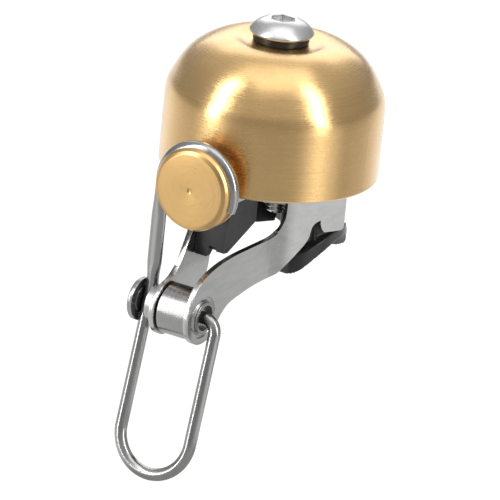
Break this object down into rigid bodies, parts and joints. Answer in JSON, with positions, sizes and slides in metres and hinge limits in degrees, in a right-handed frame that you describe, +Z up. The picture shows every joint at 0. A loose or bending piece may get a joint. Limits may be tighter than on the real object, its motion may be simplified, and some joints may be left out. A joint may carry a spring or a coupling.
{
  "type": "bicycle bell",
  "caption": "Brass dome bell on a bent steel bracket, struck by a grooved clapper on a sprung wire hammer with a finger loop, seated on a handlebar by a rubber saddle.",
  "frame": {"origin": "on the handlebar's axis, under the middle of the bell: the centre line of the curved rubber seat, in the bracket's middle plane", "axes": "+X along the handlebar and the hammer's pivot, +Z up along the dome's axis, -Y towards the hammer"},
  "size_m": [0.0384, 0.054, 0.0769],
  "materials": {
    "dome_brass": "spun brass, fine circumferential brushing, clear satin",
    "clapper_brass": "turned brass, satin face and polished edge",
    "bolt_steel": "satin stainless",
    "washer_black": "black moulded washer",
    "bush_nylon": "black nylon bush",
    "plain_steel": "plain stainless",
    "post_steel": "turned stainless",
    "bracket_steel": "satin stainless sheet, cut edges polished",
    "block_plastic": "black moulded plastic",
    "stud_steel": "stainless thread",
    "boot_rubber": "black rubber, satin",
    "barrel_steel": "polished stainless",
    "bush_steel": "polished stainless lip",
    "pin_steel": "turned stainless",
    "spring_steel": "drawn spring steel",
    "wire_steel": "satin stainless wire"
  },
  "bodies": {
    "base": {"bell_dome": "dome_brass", "dome_bolt": "bolt_steel", "top_washer": "washer_black", "isolating_bush": "bush_nylon", "inner_washer": "plain_steel", "dome_post": "post_steel", "bracket": "bracket_steel", "saddle_block": "block_plastic", "saddle_stud": "stud_steel", "saddle_washer": "plain_steel", "saddle_nut": "plain_steel", "rubber_boot": "boot_rubber", "spring_barrel": "barrel_steel", "near_bush": "bush_steel", "far_bush": "bush_steel", "pivot_spacer": "plain_steel", "torsion_spring": "spring_steel"},
    "hammer": {"hammer_wire": "wire_steel", "clapper": "clapper_brass", "pivot_pin": "pin_steel"}
  },
  "joints": [
    {"name": "hammer_swing", "type": "hinge", "parent": "base", "child": "hammer", "pos_m": [0, -0.036, 0.0042], "axis": [1, 0, 0], "range_deg": [-1.2, 45], "stiffness_Nm_per_rad": 0.01}
  ]
}
